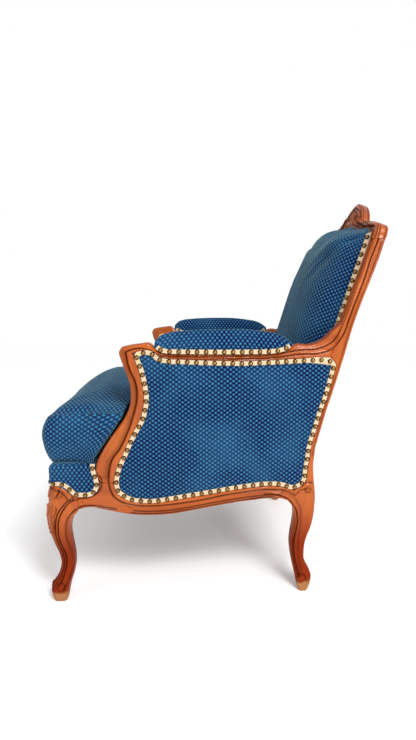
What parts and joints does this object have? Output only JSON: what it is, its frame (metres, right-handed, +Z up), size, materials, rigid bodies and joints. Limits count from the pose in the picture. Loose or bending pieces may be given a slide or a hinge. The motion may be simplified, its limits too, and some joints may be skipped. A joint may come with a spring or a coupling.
{
  "type": "bergere armchair",
  "caption": "Carved and moulded wooden bergere armchair with closed upholstered sides, padded arms, a raked padded back and a loose T-shaped seat cushion.",
  "frame": {"origin": "on the floor, under the middle of the overall box", "axes": "+Z up, the chair's front towards -Y, the sitter's left towards +X"},
  "size_m": [0.7036, 0.8334, 0.9895],
  "materials": {
    "frame_wood": "stained and waxed beech, satin, darker in the grooves",
    "inner_wood": "plain sawn beech",
    "blue_fabric": "woven cloth with a small oval figure",
    "cream_gimp": "woven braid",
    "nail_brass": "antique, dull",
    "webbing": "jute",
    "hessian": "jute cloth",
    "spring_steel": "coppered wire",
    "dust_cloth": "black cotton"
  },
  "bodies": {
    "chair": {"front_leg_left": "frame_wood", "front_leg_right": "frame_wood", "rear_post_left": "frame_wood", "rear_post_right": "frame_wood", "side_rail_left": "frame_wood", "side_rail_right": "frame_wood", "arm_support_left": "frame_wood", "arm_support_right": "frame_wood", "arm_left": "frame_wood", "arm_right": "frame_wood", "front_rail": "frame_wood", "rear_rail": "frame_wood", "crest_rail": "frame_wood", "lower_back_rail": "inner_wood", "front_corner_block_left": "inner_wood", "front_corner_block_right": "inner_wood", "rear_corner_block_left": "inner_wood", "rear_corner_block_right": "inner_wood", "outer_side_panel_left": "blue_fabric", "outer_side_panel_right": "blue_fabric", "inner_side_pad_left": "blue_fabric", "inner_side_pad_right": "blue_fabric", "arm_pad_left": "blue_fabric", "arm_pad_right": "blue_fabric", "back_pad": "blue_fabric", "outer_back_panel": "blue_fabric", "seat_deck": "blue_fabric", "outer_side_gimp_left": "cream_gimp", "outer_side_gimp_right": "cream_gimp", "inner_side_gimp_left": "cream_gimp", "inner_side_gimp_right": "cream_gimp", "arm_pad_outer_gimp_left": "cream_gimp", "arm_pad_outer_gimp_right": "cream_gimp", "arm_pad_inner_gimp_left": "cream_gimp", "arm_pad_inner_gimp_right": "cream_gimp", "inner_back_gimp": "cream_gimp", "outer_back_gimp": "cream_gimp", "deck_gimp": "cream_gimp", "seat_webbing": "webbing", "back_webbing": "webbing", "seat_spring_1_1": "spring_steel", "seat_spring_1_2": "spring_steel", "seat_spring_1_3": "spring_steel", "seat_spring_2_1": "spring_steel", "seat_spring_2_2": "spring_steel", "seat_spring_2_3": "spring_steel", "seat_spring_3_1": "spring_steel", "seat_spring_3_2": "spring_steel", "seat_spring_3_3": "spring_steel", "spring_hessian": "hessian", "dust_cover": "dust_cloth"},
    "loose_cushion": {"seat_cushion": "blue_fabric"}
  },
  "joints": [
    {"name": "cushion_lift", "type": "slide", "parent": "chair", "child": "loose_cushion", "axis": [0, -0.5, 0.866], "range_m": [0, 0.45]}
  ]
}
